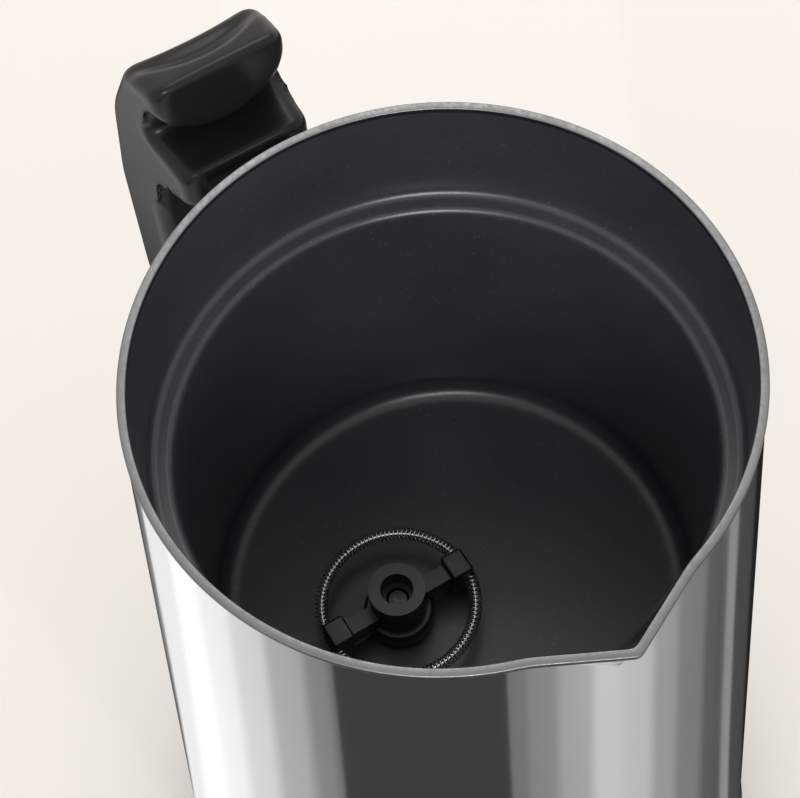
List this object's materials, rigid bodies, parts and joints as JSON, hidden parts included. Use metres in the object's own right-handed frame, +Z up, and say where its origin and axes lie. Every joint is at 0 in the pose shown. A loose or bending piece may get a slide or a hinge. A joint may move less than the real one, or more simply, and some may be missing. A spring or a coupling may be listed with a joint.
{
  "type": "milk frother",
  "caption": "Cordless milk frother: flared steel jug with pouring lip and handle, non-stick pot with a magnetic coil whisk, button, and a low power base.",
  "frame": {"origin": "on the jug's axis, on the surface that the base's feet stand on", "axes": "+Z up the jug's axis, +X towards the pouring lip, -X towards the handle, -Y towards the button"},
  "size_m": [0.1554, 0.1203, 0.206],
  "materials": {
    "polished_steel": "mirror-polished stainless steel with faint vertical polishing lines",
    "nonstick": "black non-stick coating, satin, finely speckled",
    "black_gloss": "black moulded plastic, semi-gloss",
    "black_matte": "black moulded plastic, fine spark-eroded grain",
    "whisk_black": "black moulded plastic, satin",
    "spring_steel": "bright stainless wire",
    "zinc_steel": "zinc-plated steel",
    "rubber": "black silicone rubber",
    "light": "frosted translucent white plastic",
    "brass": "plated brass contact",
    "white_plastic": "natural white moulded plastic",
    "board_green": "green printed circuit board",
    "component": "dark moulded component cases",
    "magnet": "nickel-plated magnet",
    "copper": "copper and laminated steel",
    "aluminium": "die-cast aluminium"
  },
  "bodies": {
    "power_base": {"base_housing": "black_matte", "base_bottom_plate": "black_matte", "base_feet": "rubber", "base_screws": "zinc_steel", "base_connector": "black_gloss", "base_contacts": "brass", "cord_gland": "rubber"},
    "jug": {"outer_shell": "polished_steel", "inner_pot": "nonstick", "whisk_pin": "spring_steel", "handle_shell": "black_gloss", "thumb_rest": "black_gloss", "handle_inner_cover": "black_matte", "handle_upper_bracket": "black_gloss", "handle_lower_bracket": "black_matte", "handle_screws": "zinc_steel", "button_bezel": "polished_steel", "button_light_ring": "light", "button_switch": "component", "control_board": "board_green", "motor_can": "zinc_steel", "motor_field_magnets": "component", "motor_end_cap": "white_plastic", "motor_screws": "zinc_steel", "heater_plate": "aluminium", "heater_element": "zinc_steel", "thermal_cutout": "aluminium", "temperature_sensor": "brass", "sensor_spring": "spring_steel", "chassis": "white_plastic", "power_board": "board_green", "board_components": "component", "bottom_cover": "black_matte", "bottom_seal": "rubber", "bottom_screws": "zinc_steel", "jug_connector": "black_gloss", "jug_contacts": "brass"},
    "rotor": {"motor_shaft": "spring_steel", "motor_armature": "copper", "magnet_carrier": "white_plastic", "drive_magnets": "magnet"},
    "whisk": {"whisk_hub": "whisk_black", "whisk_coil": "spring_steel", "whisk_core_ring": "spring_steel", "whisk_magnets": "magnet"},
    "button": {"button_cap": "black_gloss", "button_spring": "spring_steel"}
  },
  "joints": [
    {"name": "jug_lift", "type": "slide", "parent": "power_base", "child": "jug", "axis": [0, 0, 1], "range_m": [0, 0.05]},
    {"name": "rotor_spin", "type": "hinge", "parent": "jug", "child": "rotor", "pos_m": [-0.0016, -0.0106, 0.08], "axis": [0, 0, 1], "continuous": true},
    {"name": "whisk_spin", "type": "hinge", "parent": "jug", "child": "whisk", "pos_m": [-0.0016, -0.0106, 0.128], "axis": [0, 0, 1], "continuous": true},
    {"name": "button_press", "type": "slide", "parent": "jug", "child": "button", "axis": [0, 1, 0], "range_m": [0, 0.0012], "stiffness_N_per_m": 900, "springref_m": -0.001, "deforming": ["button_spring"]}
  ],
  "couplings": [
    {"joint": "whisk_spin", "follows": "rotor_spin", "ratio": 1}
  ]
}
